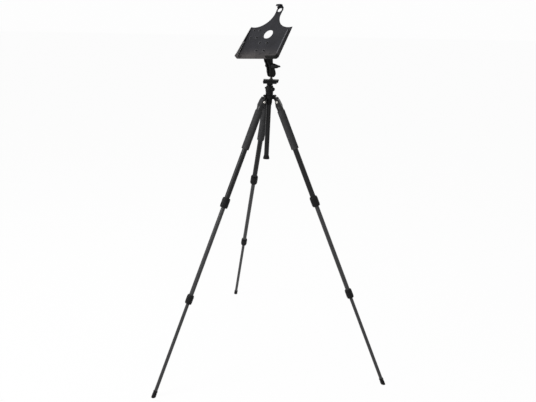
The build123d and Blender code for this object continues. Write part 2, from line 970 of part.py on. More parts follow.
# The arm's own directions: along it, across its split (towards the wing knob), and forward
face_out = heading(face_azimuth)
knob_out = heading(face_azimuth + 90)
arm_along = face_out * sin(arm_lean) + up * cos(arm_lean)
lower_ball = post_spot + up * lower_ball_height
upper_ball = lower_ball + arm_along * arm_span
arm_middle = lower_ball + arm_along * (arm_span / 2)
arm_plane = Plane(origin=lower_ball, x_dir=arm_along, z_dir=knob_out)

# The cradle's own directions: u to the side, v up its back, n out of its face
face_normal = face_out * cos(cradle_tilt) + up * sin(cradle_tilt)
level_v = face_normal.cross(knob_out)
cradle_u = knob_out * cos(cradle_roll) + level_v * sin(cradle_roll)
cradle_v = face_normal.cross(cradle_u)
ball_seat = upper_ball + face_normal * ball_reach
cradle_origin = ball_seat - cradle_u * mount_u - cradle_v * mount_v
cradle_back = Plane(origin=cradle_origin, x_dir=cradle_u, z_dir=face_normal)
cradle_side_plane = Plane(origin=cradle_origin, x_dir=face_normal, z_dir=-cradle_u)    # x out of the face, y up it
latch_side = cradle_side_plane.offset(-tongue_u)


def make_post():
    """Lower ball's metal core on its stem, screwed to the camera plate."""
    side = Plane(origin=post_spot, x_dir=heading(0), z_dir=heading(0).cross(up))
    neck = plate_top + post_height
    with BuildPart() as post:
        with BuildSketch(side):
            with BuildLine():
                Polyline(
                    (0, plate_top),
                    (post_flange_r, plate_top),
                    (post_flange_r, plate_top + post_flange),
                    (post_r, plate_top + post_flange),
                    (post_r, plate_top + post_shank),
                    (neck_stem_r, neck),
                    (neck_stem_r, lower_ball_height),
                    (0, lower_ball_height),
                    close=True,
                )
            make_face()
        revolve(axis=Axis(post_spot, up))
        with Locations(lower_ball):
            Sphere(core_r)
    keep(post, "ball_post")


def make_cover(centre, stem_direction, name):
    """Rubber skin round a metal ball, open where the stem comes out."""
    stem = Plane(origin=centre, z_dir=stem_direction)
    with BuildPart() as cover:
        with Locations(centre):
            Sphere(ball_r)
            Sphere(core_r + turn_fit, mode=Mode.SUBTRACT)
        with BuildSketch(stem):
            Circle(neck_stem_r + turn_fit)
        extrude(amount=ball_r + overrun, mode=Mode.SUBTRACT)
    keep(cover, name)


def make_arm_half(hand):
    """One half of the double-socket arm: two ball cups joined by a waisted, rounded body."""
    split_plane = arm_plane.offset(hand * arm_half_gap)
    depth = arm_half_width - arm_half_gap
    with BuildPart() as half:
        with BuildSketch(split_plane):
            with Locations((arm_span / 2, 0)):
                SlotCenterToCenter(arm_span, 2 * arm_end_r)
            with Locations((arm_span / 2, arm_waist + waist_arc_r), (arm_span / 2, -arm_waist - waist_arc_r)):
                Circle(waist_arc_r, mode=Mode.SUBTRACT)
        extrude(amount=hand * depth)
        outer_face = half.faces().sort_by(Axis(lower_ball, knob_out * hand))[-1]
        fillet(outer_face.outer_wire().edges(), arm_round)
        with BuildSketch(split_plane):
            with Locations((arm_span / 2, 0)):
                Circle(arm_boss_r)
        extrude(amount=hand * (depth + arm_boss))
        with Locations(lower_ball, upper_ball):
            Sphere(ball_r + turn_fit, mode=Mode.SUBTRACT)
        with BuildSketch(split_plane):
            with Locations((arm_span / 2, 0)):
                RectangleRounded(arm_pocket_length, arm_pocket_width, arm_pocket_corner_r)
                Circle(arm_bolt_r + arm_bolt_wall, mode=Mode.SUBTRACT)
        extrude(amount=hand * (arm_pocket_floor - arm_half_gap), mode=Mode.SUBTRACT)
        with BuildSketch(split_plane):
            with Locations((arm_span / 2, 0)):
                Circle(arm_bolt_r)
        extrude(amount=hand * 2 * depth, mode=Mode.SUBTRACT)
    return half


def make_arm():
    """Both halves: the second mirrors the first across the split."""
    left = make_arm_half(-1)
    with BuildPart() as right:
        mirror(left.part, about=arm_plane)
    keep(left, "arm_left")
    keep(right, "arm_right")


def make_arm_bolt():
    """Hexagon-headed bolt through both halves, running into the wing knob."""
    outer = arm_half_width + arm_boss
    with BuildPart() as bolt:
        with BuildSketch(arm_plane.offset(-outer)):
            with Locations((arm_span / 2, 0)):
                RegularPolygon(arm_bolt_head_r, hexagon_count)
        extrude(amount=-arm_bolt_head)
        with BuildSketch(arm_plane.offset(-outer)):
            with Locations((arm_span / 2, 0)):
                Circle(arm_bolt_r)
        extrude(amount=2 * outer + knob_bore - turn_fit)
    keep(bolt, "arm_bolt")


def make_wing_knob():
    """Wing knob: a turned skirt with a flat paddle that tapers in thickness."""
    seat = arm_half_width + arm_boss + turn_fit
    foot = arm_middle + knob_out * seat
    across = Plane(origin=foot, x_dir=face_out, z_dir=knob_out)
    turning = Plane(origin=foot, x_dir=face_out, z_dir=face_out.cross(knob_out))   # y along the bolt
    with BuildPart() as knob:
        with BuildSketch(turning):
            with BuildLine():
                Polyline(
                    (0, 0),
                    (knob_skirt_r, 0),
                    (knob_skirt_r, knob_skirt),
                    (knob_neck_r, knob_neck),
                    (0, knob_neck),
                    close=True,
                )
            make_face()
        revolve(axis=Axis(foot, knob_out))
        with BuildSketch(across.offset(wing_root)):
            RectangleRounded(2 * wing_root_half, wing_root_thickness, wing_root_thickness / 3)
        with BuildSketch(across.offset(knob_length - wing_tip)):
            RectangleRounded(2 * wing_half, wing_tip_thickness, wing_tip_thickness / 3)
        with BuildSketch(across.offset(knob_length)):
            RectangleRounded(2 * wing_half - wing_tip, wing_tip_thickness / 2, wing_tip_thickness / 6)
        loft(ruled=True)
        with BuildSketch(across):
            Circle(arm_bolt_r + slide_fit)
        extrude(amount=knob_bore, mode=Mode.SUBTRACT)
    keep(knob, "wing_knob")


def make_ball_plate():
    """Diamond-shaped plate on the cradle's back, with the upper ball's stem and core."""
    back = cradle_back.offset(-diamond_thickness)
    centre = (mount_u, mount_v)
    with BuildPart() as plate:
        with BuildSketch(back):
            with Locations(centre):
                Circle(diamond_width / 2)
                with Locations((rivet_half_span, 0), (-rivet_half_span, 0)):
                    Circle(diamond_length / 2 - rivet_half_span)
            make_hull()
        extrude(amount=diamond_thickness)
        # Rivets through the sheet, with heads that end flush in its face
        with BuildSketch(cradle_back):
            with Locations(centre):
                with Locations((rivet_half_span, 0), (-rivet_half_span, 0)):
                    Circle(rivet_r)
        extrude(amount=cradle_sheet)
        with BuildSketch(cradle_back.offset(cradle_sheet)):
            with Locations(centre):
                with Locations((rivet_half_span, 0), (-rivet_half_span, 0)):
                    Circle(rivet_head_r)
        extrude(amount=-rivet_sink)
        with BuildSketch(back):
            with Locations(centre):
                Circle(neck_stem_r)
        extrude(amount=-(ball_reach - diamond_thickness))
        with Locations(upper_ball):
            Sphere(core_r)
    keep(plate, "tray_ball_plate")


def make_tray():
    """Cradle: a sheet with horned top and tongue, two lipped side walls, a ledge and corner cups."""
    half = cradle_width / 2

    def cut_out(hand, centre_u, centre_v):
        """Tip, middle and tongue end of a round cut-out."""
        side = tongue_u + hand * tongue_half
        tip = (hand * half, centre_v - sqrt(horn_r**2 - (half - centre_u) ** 2))
        middle = (hand * (centre_u - horn_r * cos(eighth_turn)), centre_v - horn_r * sin(eighth_turn))
        return tip, middle, (side, centre_v - sqrt(horn_r**2 - (centre_u - hand * side) ** 2))

    right_tip, right_middle, right_end = cut_out(1, right_horn_u, right_horn_v)
    left_tip, left_middle, left_end = cut_out(-1, left_horn_u, left_horn_v)
    patterns = [((0, low_pattern_v), pattern_u), ((high_pattern_u, high_pattern_v), high_pattern_width)]
    with BuildPart() as tray:
        with BuildSketch(cradle_back):
            with BuildLine():
                Polyline(left_tip, (-half, 0), (half, 0), right_tip)
                ThreePointArc(right_tip, right_middle, right_end)
                Polyline(
                    right_end, (tongue_u + tongue_half, tongue_end), (tongue_u - tongue_half, tongue_end), left_end
                )
                ThreePointArc(left_end, left_middle, left_tip)
            make_face()
            with Locations((tongue_u, tongue_end)):
                Circle(tongue_end_r)
                Circle(tongue_hole_r, mode=Mode.SUBTRACT)
            with Locations((window_u, window_height)):
                Circle(window_r, mode=Mode.SUBTRACT)
        extrude(amount=cradle_sheet)
        # Screw holes, each with a boss on the back
        for spot, width in patterns:
            with BuildSketch(cradle_back):
                with Locations(spot):
                    with GridLocations(width, pattern_v, 2, 2):
                        Circle(screw_boss_r)
            extrude(amount=-screw_boss)
            with BuildSketch(cradle_back.offset(cradle_sheet)):
                with Locations(spot):
                    with GridLocations(width, pattern_v, 2, 2):
                        Circle(screw_hole_r)
            extrude(amount=-(cradle_sheet + screw_boss), mode=Mode.SUBTRACT)
        with Locations(cradle_back.offset(cradle_sheet)):
            with Locations((mount_u - rivet_half_span, mount_v), (mount_u + rivet_half_span, mount_v)):
                CounterBoreHole(rivet_r, rivet_head_r, rivet_sink, cradle_sheet)
        # Side walls with their turned-in lips
        left_lip_end = wall_depth - (wall_depth - left_wall_end_depth) * left_lip_top / left_wall_top
        for hand, top, end_depth, lip_top, lip_end in (
            (1, right_wall_top, right_wall_end_depth, right_wall_top, right_wall_end_depth),
            (-1, left_wall_top, left_wall_end_depth, left_lip_top, left_lip_end),
        ):
            inner_side = cradle_side_plane.offset(-hand * (half - wall_thickness))
            with BuildSketch(inner_side):
                with BuildLine():
                    Polyline((0, 0), (wall_depth, 0), (end_depth, top), (0, top), close=True)
                make_face()
            extrude(amount=-hand * wall_thickness)
            with BuildSketch(inner_side):
                with BuildLine():
                    Polyline(
                        (wall_depth - lip_thickness, 0),
                        (wall_depth, 0),
                        (lip_end, lip_top),
                        (lip_end - lip_thickness, lip_top),
                        close=True,
                    )
                make_face()
            extrude(amount=hand * lip_width)
        # Ledge along the bottom, and a deeper cup at each corner
        with BuildSketch(cradle_back):
            with Locations((0, wall_thickness / 2)):
                Rectangle(cradle_width, wall_thickness)
        extrude(amount=ledge_depth)
        for start, end in ((-half, -half + left_cup), (half - right_cup, half)):
            with BuildSketch(cradle_back):
                with Locations(((start + end) / 2, wall_thickness / 2)):
                    Rectangle(end - start, wall_thickness)
            extrude(amount=wall_depth)
            with BuildSketch(cradle_back.offset(wall_depth - lip_thickness)):
                with Locations(((start + end) / 2, cup_height / 2)):
                    Rectangle(end - start, cup_height)
            extrude(amount=lip_thickness)
        corners = tray.edges().filter_by(Axis(cradle_origin, face_normal))
        bottom = corners.group_by(Axis(cradle_origin, cradle_v))[0]
        fillet(bottom.sort_by(Axis(cradle_origin, cradle_u))[0], cradle_left_corner_r)
        corners = tray.edges().filter_by(Axis(cradle_origin, face_normal))
        bottom = corners.group_by(Axis(cradle_origin, cradle_v))[0]
        fillet(bottom.sort_by(Axis(cradle_origin, cradle_u))[-1], cradle_corner_r)
        # Ears that carry the latch
        for hand in (1, -1):
            with BuildSketch(latch_side.offset(hand * (latch_half + ear_gap))):
                with BuildLine():
                    Polyline(
                        (0, latch_hinge_v - 2 * latch_boss_r),
                        (latch_hinge_w, latch_hinge_v - latch_boss_r),
                        (latch_hinge_w + latch_boss_r, latch_hinge_v),
                        (latch_hinge_w, latch_hinge_v + latch_boss_r),
                        (0, latch_hinge_v + latch_boss_r / 2),
                        close=True,
                    )
                make_face()
                with Locations((latch_hinge_w, latch_hinge_v)):
                    Circle(latch_pin_r + slide_fit, mode=Mode.SUBTRACT)
            extrude(amount=hand * ear_thickness)
    keep(tray, "tray")


def make_latch():
    """Hook over the tablet's top edge, with stub pins that snap into the ears."""
    rise = latch_hinge_v + latch_rise
    reach = latch_hinge_w + latch_reach
    tip = rise - latch_slope
    with BuildPart() as latch:
        with BuildSketch(latch_side):
            with Locations((latch_hinge_w, latch_hinge_v)):
                Circle(latch_boss_r)
            with BuildLine():
                Polyline(
                    (latch_hinge_w - latch_arm / 2, latch_hinge_v),
                    (latch_hinge_w - latch_arm / 2, rise),
                    (latch_hinge_w, rise + latch_arm),
                    (latch_hinge_w + latch_arm, rise + latch_arm),
                    (reach, tip + latch_arm),
                    (reach, tip + latch_arm - latch_drop),
                    (reach - latch_arm / 2, tip + latch_arm - latch_drop),
                    (reach - latch_arm / 2, tip),
                    (latch_hinge_w + latch_arm, rise),
                    (latch_hinge_w + latch_boss_r, latch_hinge_v),
                    close=True,
                )
            make_face()
        extrude(amount=latch_half, both=True)
        with BuildSketch(latch_side):
            with Locations((latch_hinge_w, latch_hinge_v)):
                Circle(latch_pin_r)
        extrude(amount=latch_half + ear_gap + ear_thickness, both=True)
    keep(latch, "latch")


for leg_name, leg_azimuth in leg_azimuths.items():
    make_leg(leg_name, leg_azimuth)
keep(make_spider(), "spider")
keep(make_pivot_bolts(), "pivot_bolts")
make_column_parts()
make_head()
make_clamp()
make_post()
make_cover(lower_ball, -up, "lower_ball_cover")
make_arm()
make_arm_bolt()
make_wing_knob()
make_cover(upper_ball, face_normal, "upper_ball_cover")
make_ball_plate()
make_tray()
make_latch()
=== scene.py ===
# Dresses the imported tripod, its head, arm and tablet cradle: softened castings, moulded collars, foam grips, the
# cradle's small trim, and a finish for every node.
# Metres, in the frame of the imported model: +Z up, feet on Z = 0, the camera side at -Y.
import json
import math

import bmesh
import bpy
import numpy as np
from mathutils import Matrix, Vector


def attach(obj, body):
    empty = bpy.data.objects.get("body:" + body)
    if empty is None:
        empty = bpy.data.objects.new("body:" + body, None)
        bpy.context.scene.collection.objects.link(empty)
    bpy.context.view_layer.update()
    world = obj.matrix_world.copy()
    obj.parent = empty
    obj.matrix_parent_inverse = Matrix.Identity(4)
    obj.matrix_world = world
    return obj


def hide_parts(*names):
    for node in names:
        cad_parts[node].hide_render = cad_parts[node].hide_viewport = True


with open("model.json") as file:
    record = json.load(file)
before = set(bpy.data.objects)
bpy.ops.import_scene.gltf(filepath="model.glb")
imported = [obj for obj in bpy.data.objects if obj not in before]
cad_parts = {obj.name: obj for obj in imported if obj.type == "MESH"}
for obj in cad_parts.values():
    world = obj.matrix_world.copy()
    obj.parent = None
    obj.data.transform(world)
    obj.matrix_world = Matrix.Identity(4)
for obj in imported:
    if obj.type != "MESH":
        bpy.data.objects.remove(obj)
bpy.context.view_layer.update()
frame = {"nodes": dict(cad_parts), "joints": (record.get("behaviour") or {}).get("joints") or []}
joints = {joint["name"]: joint for joint in frame["joints"]}
legNames = ["rear", "left", "right"]
millimetre = 0.001
print("frame loaded:", len(frame["nodes"]), "nodes")


def linearColour(hexCode):
    # sRGB hex to the linear values that the shaders take
    parts = [int(hexCode[i:i + 2], 16) / 255 for i in (1, 3, 5)]
    return [c / 12.92 if c <= 0.04045 else ((c + 0.055) / 1.055) ** 2.4 for c in parts] + [1.0]


def addNode(tree, kind, settings=None, values=None, links=None):
    node = tree.nodes.new(kind)
    for name, value in (settings or {}).items():
        setattr(node, name, value)
    for name, value in (values or {}).items():
        node.inputs[name].default_value = value
    for name, source in (links or {}).items():
        tree.links.new(source, node.inputs[name])
    return node


def unit(vector):
    array = np.array(vector, float)
    return array / np.linalg.norm(array)


def legFrame(leg):
    # pivot, direction down the leg and two directions across it, the first pointing outwards
    pivot = np.array(joints[f"{leg}_leg_fold"]["pos_m"])
    down = -unit(joints[f"{leg}_middle_slide"]["axis"])
    hinge = unit(joints[f"{leg}_leg_fold"]["axis"])
    out = unit(np.cross(down, hinge))
    if out[2] < 0:
        out = -out
    side = np.cross(down, out)
    return pivot, down, out, side


ringMerge = 1e-7     # points nearer than this are one point


def meshFromGrid(name, points, closeAlong=True):
    # points is rows x columns x 3; each row is one closed ring, and closeAlong joins the last row to the first
    rows, columns = points.shape[:2]
    index = np.arange(rows * columns).reshape(rows, columns)
    nextColumn = np.roll(index, -1, axis=1)
    if closeAlong:
        low, lowNext = index, nextColumn
        high, highNext = np.roll(index, -1, axis=0), np.roll(nextColumn, -1, axis=0)
    else:
        low, lowNext = index[:-1], nextColumn[:-1]
        high, highNext = index[1:], nextColumn[1:]
    faces = np.stack([low, lowNext, highNext, high], axis=-1).reshape(-1, 4)
    mesh = bpy.data.meshes.new(name)
    mesh.from_pydata(points.reshape(-1, 3).tolist(), [], faces.tolist())
    mesh.validate()
    shell = bmesh.new()
    shell.from_mesh(mesh)
    bmesh.ops.remove_doubles(shell, verts=shell.verts, dist=ringMerge)
    bmesh.ops.recalc_face_normals(shell, faces=shell.faces)
    shell.to_mesh(mesh)
    shell.free()
    mesh.shade_smooth()
    piece = bpy.data.objects.new(name, mesh)
    bpy.context.scene.collection.objects.link(piece)
    return piece


def capEnds(piece):
    # closes the two open ends of a carried section
    shell = bmesh.new()
    shell.from_mesh(piece.data)
    bmesh.ops.holes_fill(shell, edges=shell.edges)
    bmesh.ops.recalc_face_normals(shell, faces=shell.faces)
    shell.to_mesh(piece.data)
    shell.free()


def finishPiece(piece, material, body, node=None):
    piece.data.materials.clear()
    piece.data.materials.append(material)
    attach(piece, body)
    if node:
        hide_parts(node)
    return piece


# how the sharp edges of the castings and mouldings are rolled over: radii in metres, angles in degrees
softening = {
    "radius": {"leg_yoke": 0.0007, "spider": 0.0006, "clamp_body": 0.0005, "camera_plate": 0.0005,
               "head_housing": 0.0004, "wing_knob": 0.0009, "tray": 0.0004, "latch": 0.0005},
    "sharpFrom": 32, "flatUpTo": 0.6, "merge": 2e-6, "segments": 2, "paddleSegments": 3,
}


def softenedCopy(node, kind, segments=softening["segments"]):
    # the CAD node's own solid with its sharp edges rolled over by the radius for its kind
    source = frame["nodes"][node]
    mesh = source.data.copy()
    mesh.name = f"{node}_soft"
    shell = bmesh.new()
    shell.from_mesh(mesh)
    bmesh.ops.remove_doubles(shell, verts=shell.verts, dist=softening["merge"])
    bmesh.ops.dissolve_limit(shell, angle_limit=math.radians(softening["flatUpTo"]),
                             verts=shell.verts, edges=shell.edges)
    shell.to_mesh(mesh)
    shell.free()
    piece = bpy.data.objects.new(f"{node}_soft", mesh)
    bpy.context.scene.collection.objects.link(piece)
    edge = piece.modifiers.new("softEdge", "BEVEL")
    edge.width = softening["radius"][kind]
    edge.segments = segments
    edge.limit_method = "ANGLE"
    edge.angle_limit = math.radians(softening["sharpFrom"])
    edge.use_clamp_overlap = True
    edge.harden_normals = False
    mesh.shade_smooth()
    smooth = piece.modifiers.new("weightedNormals", "WEIGHTED_NORMAL")
    smooth.keep_sharp = True
    return piece


# grain and toneSize are widths in millimetres, and stretch is how many times longer a grain is than wide. Real
# draw lines, foam cells and spark grain are 0.1 to 0.5 wide, too fine to show in the render: they are drawn
# about a millimetre coarse, and the tone drifts in patches that do show
finishes = {
    # black anodised aluminium, drawn tube: a dyed oxide skin, satin, with faint lines along the draw
    "anodisedTube": {"dark": "#121213", "light": "#1d1d1f", "roughness": 0.36, "ior": 1.5, "grain": 1.4,
                     "stretch": 60.0, "bump": 0.05, "toneSize": 30.0, "specular": 0.2},
    # the same tube in the thinner sections: glossier, and a shade lighter as a painted sheen of the bright floor
    "anodisedThinPaintedSheen": {"dark": "#232324", "light": "#323234", "roughness": 0.33, "ior": 1.5, "grain": 1.4,
                     "stretch": 60.0, "bump": 0.05, "toneSize": 30.0, "specular": 0.4},
    # closed-cell foam rubber, skinned by moulding: matt, with small cells and pressed dents
    "foamRubber": {"dark": "#343435", "light": "#454546", "roughness": 0.88, "ior": 1.45, "grain": 1.6,
                   "stretch": 1.0, "bump": 0.35, "toneSize": 22.0, "specular": 0.16},
    # glass-filled nylon, moulded in a spark-eroded tool: even fine grain, soft sheen
    "mouldedNylon": {"dark": "#111112", "light": "#1c1c1d", "roughness": 0.5, "ior": 1.5, "grain": 0.9,
                     "stretch": 1.0, "bump": 0.12, "toneSize": 18.0, "specular": 0.11},
    # die-cast alloy under powder coat: slight orange peel
    "powderCoat": {"dark": "#0f0f10", "light": "#1a1a1b", "roughness": 0.48, "ior": 1.5, "grain": 1.3,
                   "stretch": 1.0, "bump": 0.14, "toneSize": 25.0, "specular": 0.08},
    # the leg castings: the same coat laid on smoother, with a satin sheen
    "satinCoat": {"dark": "#131314", "light": "#1f1f20", "roughness": 0.36, "ior": 1.5, "grain": 1.6,
                  "stretch": 1.0, "bump": 0.08, "toneSize": 25.0, "specular": 0.27},
    # marine alloy under a thick matt powder coat
    "mattCoat": {"dark": "#0e0e0e", "light": "#171717", "roughness": 0.62, "ior": 1.5, "grain": 1.0,
                 "stretch": 1.0, "bump": 0.22, "toneSize": 16.0, "specular": 0.09},
    # ABS sheet and walls moulded with a haircell grain
    "grainedAbs": {"dark": "#1b1b1e", "light": "#29292d", "roughness": 0.46, "ior": 1.53, "grain": 1.1,
                   "stretch": 1.0, "bump": 0.18, "toneSize": 45.0, "specular": 0.1},
    # the ball plate: the alloy's coat in charcoal, with rivets as dark as the sheet they are set in
    "charcoalCoat": {"dark": "#1d1d1f", "light": "#2b2b2e", "roughness": 0.52, "ior": 1.5, "grain": 1.0,
                     "stretch": 1.0, "bump": 0.18, "toneSize": 16.0, "specular": 0.1},
    # the same ABS painted pale as a painted highlight: along the right wall's edge and on the screw rims
    "highlightPaintedAbs": {"dark": "#4a4a4d", "light": "#5e5e62", "roughness": 0.5, "ior": 1.53, "grain": 1.1,
                  "stretch": 1.0, "bump": 0.1, "toneSize": 6.0, "specular": 0.2},
    # pale grey over the left wall's edge, a painted highlight along its rim: smooth, slightly shiny
    "highlightPaintedTrim": {"dark": "#8b8b8a", "light": "#a4a4a3", "roughness": 0.45, "ior": 1.5, "grain": 0.8,
                   "stretch": 1.0, "bump": 0.06, "toneSize": 14.0, "specular": 0.4},
    # grip rubber on the cradle's walls, painted pale as a painted highlight on its ribs, with a slight sheen
    "ribPaintedHighlight": {"dark": "#a9a9a8", "light": "#c2c2c1", "roughness": 0.55, "ior": 1.52, "grain": 0.8,
                   "stretch": 1.0, "bump": 0.1, "toneSize": 9.0, "specular": 0.4},
    # moulded rubber: matt, slightly dusty
    "mouldedRubber": {"dark": "#161616", "light": "#222221", "roughness": 0.8, "ior": 1.52, "grain": 0.8,
                      "stretch": 1.0, "bump": 0.15, "toneSize": 9.0, "specular": 0.12},
}
# steel of the balls and bolts: blackened, and on the leg pivots worn bright by the castings that turn on them;
# the marks of turning are too fine to show, so they are drawn coarse, as a grain 0.6 mm wide
steelFinish = {"blackened": "#3c3b3a", "wornBright": "#c9c6c0", "roughness": 0.34, "roughnessSpread": 0.08,
               "grain": 0.6, "grainDetail": 3.0, "bump": 0.05, "bumpHeight": 0.0002}
# how the two noises share the colour and the sheen of every other finish
pattern = {"toneDetail": 3.0, "toneRoughness": 0.55, "grainDetail": 4.0, "grainRoughness": 0.6,
           "grainShare": 0.45, "darkAt": 0.34, "lightAt": 0.66, "lowest": 0.3, "highest": 0.7,
           "roughnessSpread": 0.06}


def finishMaterial(name, axis=(0, 0, 1), label=None, paintedReflection=None):
    # tone drifts between two greys; grain lifts the surface; both are turned to lie along axis;
    # the last argument, if given, is a painted reflection: a paler colour that thins out upwards from a foot along
    # a direction, broken up by the tone
    finish = finishes[name]
    material = bpy.data.materials.new(label or name)
    material.use_nodes = True
    tree = material.node_tree
    tree.nodes.clear()
    where = addNode(tree, "ShaderNodeTexCoord")
    turn = Vector((0, 0, 1)).rotation_difference(Vector(axis)).inverted().to_euler()
    placed = addNode(tree, "ShaderNodeMapping", {"vector_type": "POINT"}, {"Rotation": turn},
                     {"Vector": where.outputs["Object"]})
    tone = addNode(tree, "ShaderNodeTexNoise", None,
                   {"Scale": 1 / (finish["toneSize"] * millimetre), "Detail": pattern["toneDetail"],
                    "Roughness": pattern["toneRoughness"]},
                   {"Vector": placed.outputs["Vector"]})
    grainScale = 1 / (finish["grain"] * millimetre)
    drawn = addNode(tree, "ShaderNodeMapping", {"vector_type": "POINT"},
                    {"Scale": (grainScale, grainScale, grainScale / finish["stretch"])},
                    {"Vector": placed.outputs["Vector"]})
    grain = addNode(tree, "ShaderNodeTexNoise", None,
                    {"Scale": 1.0, "Detail": pattern["grainDetail"], "Roughness": pattern["grainRoughness"]},
                    {"Vector": drawn.outputs["Vector"]})
    share = addNode(tree, "ShaderNodeMix", {"data_type": "FLOAT"}, {"Factor": pattern["grainShare"]},
                    {"A": tone.outputs["Fac"], "B": grain.outputs["Fac"]})
    ramp = addNode(tree, "ShaderNodeValToRGB", None, None, {"Fac": share.outputs["Result"]})
    ramp.color_ramp.elements[0].position = pattern["darkAt"]
    ramp.color_ramp.elements[0].color = linearColour(finish["dark"])
    ramp.color_ramp.elements[1].position = pattern["lightAt"]
    ramp.color_ramp.elements[1].color = linearColour(finish["light"])
    colour = ramp.outputs["Color"]
    # paint a paler colour low down: a painted reflection
    if paintedReflection:
        rise = addNode(tree, "ShaderNodeVectorMath", {"operation": "DOT_PRODUCT"}, {1: tuple(paintedReflection["up"])},
                       {0: where.outputs["Object"]})
        reflectionFade = addNode(tree, "ShaderNodeMapRange", {"interpolation_type": "SMOOTHSTEP"},
                       {"From Min": paintedReflection["foot"], "From Max": paintedReflection["foot"] + paintedReflection["reach"],
                        "To Min": paintedReflection["share"], "To Max": 0.0}, {"Value": rise.outputs["Value"]})
        broken = addNode(tree, "ShaderNodeMath", {"operation": "MULTIPLY"}, None,
                         {0: reflectionFade.outputs["Result"], 1: tone.outputs["Fac"]})
        reflectionMix = addNode(tree, "ShaderNodeMix", {"data_type": "RGBA"}, {"B": linearColour(paintedReflection["hex"])},
                        {"Factor": broken.outputs[0], "A": colour})
        colour = reflectionMix.outputs["Result"]
    rough = addNode(tree, "ShaderNodeMapRange", None,
                    {"From Min": pattern["lowest"], "From Max": pattern["highest"],
                     "To Min": finish["roughness"] - pattern["roughnessSpread"],
                     "To Max": finish["roughness"] + pattern["roughnessSpread"]},
                    {"Value": share.outputs["Result"]})
    lift = addNode(tree, "ShaderNodeBump", None,
                   {"Strength": finish["bump"], "Distance": finish["grain"] * millimetre},
                   {"Height": grain.outputs["Fac"]})
    shader = addNode(tree, "ShaderNodeBsdfPrincipled", None,
                     {"IOR": finish["ior"], "Metallic": 0.0, "Specular IOR Level": finish["specular"]},
                     {"Base Color": colour, "Roughness": rough.outputs["Result"],
                      "Normal": lift.outputs["Normal"]})
    addNode(tree, "ShaderNodeOutputMaterial", None, None, {"Surface": shader.outputs["BSDF"]})
    return material


def steelMaterial(name):
    material = bpy.data.materials.new(f"{name}Steel")
    material.use_nodes = True
    tree = material.node_tree
    tree.nodes.clear()
    where = addNode(tree, "ShaderNodeTexCoord")
    grain = addNode(tree, "ShaderNodeTexNoise", None,
                    {"Scale": 1 / (steelFinish["grain"] * millimetre), "Detail": steelFinish["grainDetail"]},
                    {"Vector": where.outputs["Object"]})
    rough = addNode(tree, "ShaderNodeMapRange", None,
                    {"To Min": steelFinish["roughness"] - steelFinish["roughnessSpread"],
                     "To Max": steelFinish["roughness"] + steelFinish["roughnessSpread"]},
                    {"Value": grain.outputs["Fac"]})
    lift = addNode(tree, "ShaderNodeBump", None,
                   {"Strength": steelFinish["bump"], "Distance": steelFinish["bumpHeight"]},
                   {"Height": grain.outputs["Fac"]})
    shader = addNode(tree, "ShaderNodeBsdfPrincipled", None,
                     {"Base Color": linearColour(steelFinish[name]), "Metallic": 1.0},
                     {"Roughness": rough.outputs["Result"], "Normal": lift.outputs["Normal"]})
    addNode(tree, "ShaderNodeOutputMaterial", None, None, {"Surface": shader.outputs["BSDF"]})
    return material


# the tubes' draw lines run down their own leg, so each leg has its own two
tubeMaterials = {leg: finishMaterial("anodisedTube", legFrame(leg)[1], f"anodisedTube_{leg}")
                 for leg in legNames}
# the thinner sections take the colour with the painted sheen
paintedSheenThinMaterials = {leg: finishMaterial("anodisedThinPaintedSheen", legFrame(leg)[1], f"anodisedThinPaintedSheen_{leg}")
                 for leg in legNames}
columnTube = finishMaterial("anodisedTube", (0, 0, 1), "anodisedTube_column")
foam = finishMaterial("foamRubber")
nylon = finishMaterial("mouldedNylon")
coat = finishMaterial("powderCoat")
satinCoat = finishMaterial("satinCoat")
mattCoat = finishMaterial("mattCoat")
absPlastic = finishMaterial("grainedAbs")
rubber = finishMaterial("mouldedRubber")
paintedHighlightRibs = finishMaterial("ribPaintedHighlight")
highlightPaintedTrim = finishMaterial("highlightPaintedTrim")
charcoalCoat = finishMaterial("charcoalCoat")
# pale ABS: the painted highlight on the right wall's edge and the screw rims
highlightPaintedAbs = finishMaterial("highlightPaintedAbs")
steel = steelMaterial("blackened")
brightSteel = steelMaterial("wornBright")
print("finishes made")


def dress(node, material):
    # a CAD node that keeps its own shape takes only a finish
    piece = frame["nodes"][node]
    piece.data.materials.clear()
    piece.data.materials.append(material)


# metres, with stations measured down the leg from its pivot; each of the two dentWaves gives its waves round the
# grip and its radians per metre down it
gripSize = {"top": 0.0375, "length": 0.1695, "radius": 0.01575, "bore": 0.0111, "roll": 0.0018,
            "rollLength": 0.003, "dents": 0.00012, "dentFade": 0.006, "dentWaves": ((7, 130), (3, -210)),
            "around": 96, "along": 90}
# station is a collar's middle, neck the radius of the hole that the thinner tube slides through, and flutes the
# number of flutes round it
collars = {
    "upper": {"station": 0.440, "length": 0.042, "radius": 0.0167, "bore": 0.0137, "neck": 0.0096},
    "lower": {"station": 0.855, "length": 0.037, "radius": 0.0145, "bore": 0.0117, "neck": 0.0076},
    "bevel": 0.009, "drop": 0.0017, "bevelPower": 1.5, "corner": 0.0008, "cornerLength": 0.0012,
    "bandFrom": 0.8, "bandFade": 0.0012, "flutes": 10, "fluteWidth": 0.0013, "fluteDepth": 0.0007,
    "clearOfFlutes": 1.4, "ribPitch": 0.0016, "ribDepth": 0.00018, "neckLength": 0.003, "boreFrom": 0.009,
    "around": 240, "along": 60,
}


def carryRound(profileRadius, profileStation, angles, pivot, down, out, side):
    # point = pivot + station * down + radius(station, angle) * (cos angle * out + sin angle * side)
    ring = np.cos(angles)[None, :, None] * out + np.sin(angles)[None, :, None] * side
    return pivot + profileStation[..., None] * down + profileRadius[..., None] * ring


